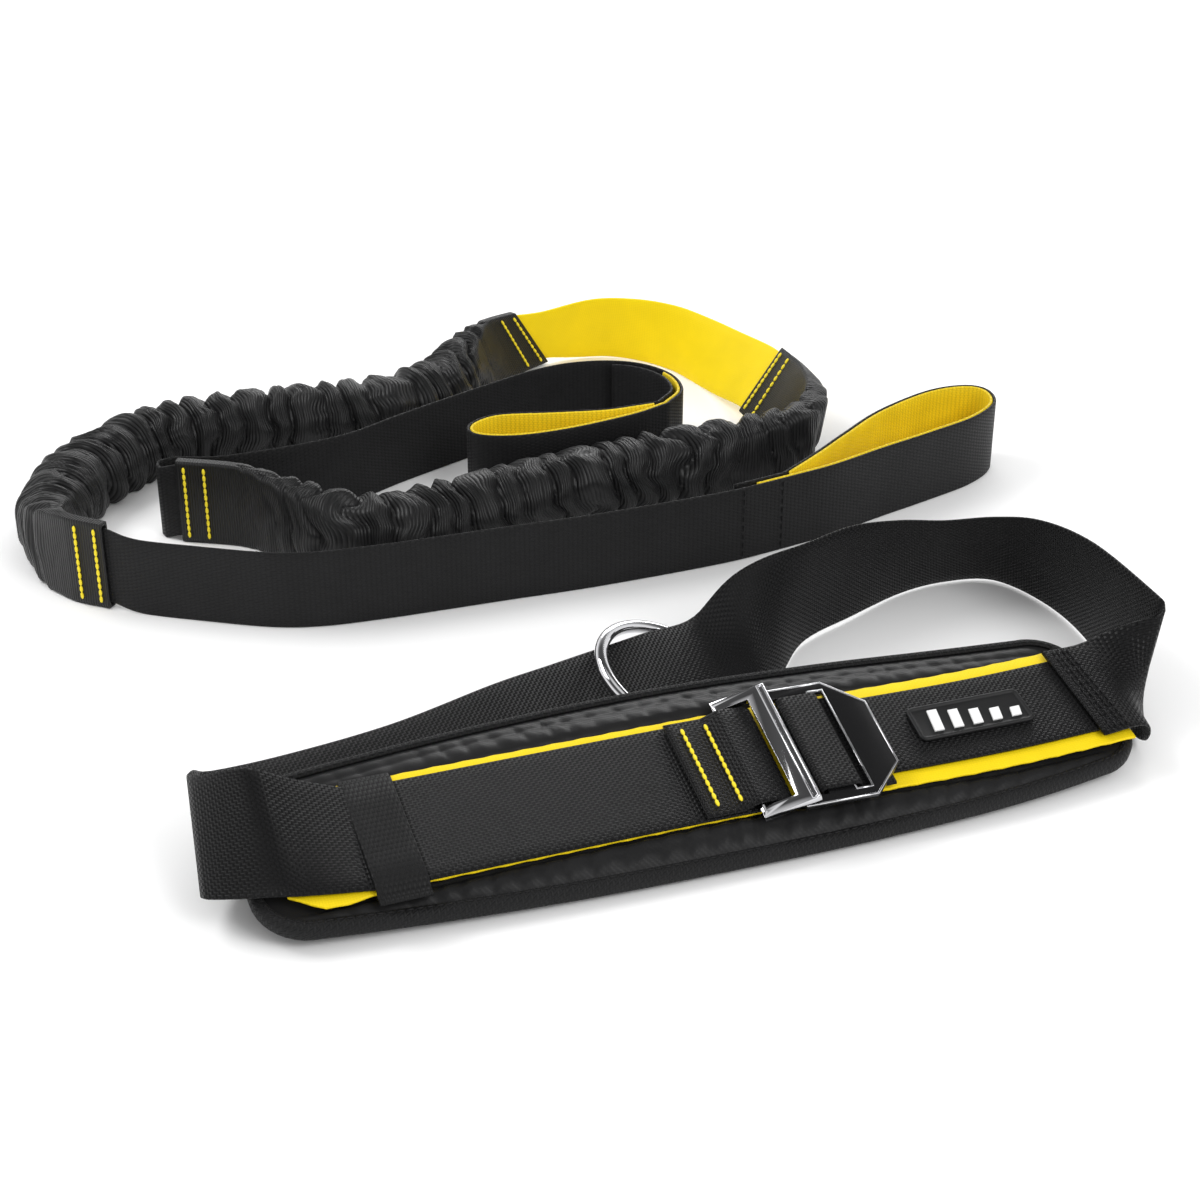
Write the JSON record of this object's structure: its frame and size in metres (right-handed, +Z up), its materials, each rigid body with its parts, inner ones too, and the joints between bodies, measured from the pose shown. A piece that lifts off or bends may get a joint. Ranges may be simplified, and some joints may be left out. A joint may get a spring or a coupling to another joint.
{
  "type": "resistance sprint trainer",
  "caption": "Padded waist belt with a hook buckle and a chrome tow ring, and a separate elastic tether in gathered sleeves with a hand loop at each end.",
  "frame": {"origin": "middle of the underside of the whole set as it lies on the floor", "axes": "+X to the right and +Y to the back as the set is seen in the picture, +Z up"},
  "size_m": [0.5172, 0.5756, 0.0514],
  "materials": {
    "black_webbing": "matt woven nylon",
    "yellow_webbing": "matt woven nylon",
    "black_satin": "satin",
    "binding_tape": "matt tape",
    "gathered_cloth": "gathered nylon",
    "foam": "closed cell foam",
    "chrome": "polished",
    "black_plate": "gloss enamel",
    "badge_rubber": "satin",
    "elastic": "matt",
    "badge_mark": "matt",
    "yellow_thread": "thread",
    "black_thread": "thread"
  },
  "bodies": {
    "belt": {"pad_foam": "foam", "pad_front_cover": "black_satin", "pad_back_cover": "binding_tape", "pad_binding": "binding_tape", "stripe_webbing": "yellow_webbing", "pad_webbing": "black_webbing", "waist_strap": "black_webbing", "keeper_loop": "black_webbing", "badge": "badge_rubber", "badge_bars": "badge_mark", "tail_stitches": "yellow_thread", "box_stitches": "black_thread"},
    "hook": {"hook_frame": "chrome"},
    "plate": {"slot_plate": "black_plate", "plate_loop": "black_webbing"},
    "ring": {"tow_ring": "chrome"},
    "tether": {"centre_strap": "yellow_webbing", "elastic_left": "elastic", "elastic_right": "elastic", "front_handle_stitches": "black_thread", "handle_lining_front": "yellow_webbing", "handle_lining_rear": "yellow_webbing", "handle_strap_front": "black_webbing", "handle_strap_rear": "black_webbing", "left_inner_stitches": "yellow_thread", "left_outer_stitches": "yellow_thread", "rear_handle_stitches": "black_thread", "right_inner_stitches": "yellow_thread", "right_outer_stitches": "yellow_thread", "sleeve_left": "gathered_cloth", "sleeve_right": "gathered_cloth"}
  },
  "joints": [
    {"name": "hook_turn", "type": "hinge", "parent": "belt", "child": "hook", "pos_m": [0.07763, -0.19877, 0.026], "axis": [0.3053, -0.9164, -0.2588], "range_deg": [0, 100]},
    {"name": "plate_lift", "type": "hinge", "parent": "belt", "child": "plate", "pos_m": [0.13052, -0.18103, 0.0244], "axis": [-0.2998, 0.9182, 0.2588], "range_deg": [0, 25]},
    {"name": "ring_slide", "type": "slide", "parent": "belt", "child": "ring", "axis": [-0.8222, -0.5692, 0], "range_m": [-0.011, 0.025]},
    {"name": "tether_away", "type": "slide", "parent": "belt", "child": "tether", "axis": [0, 1, 0], "range_m": [0, 0.3]}
  ],
  "couplings": [
    {"joint": "plate_lift", "follows": "hook_turn", "ratio": 0.25}
  ]
}
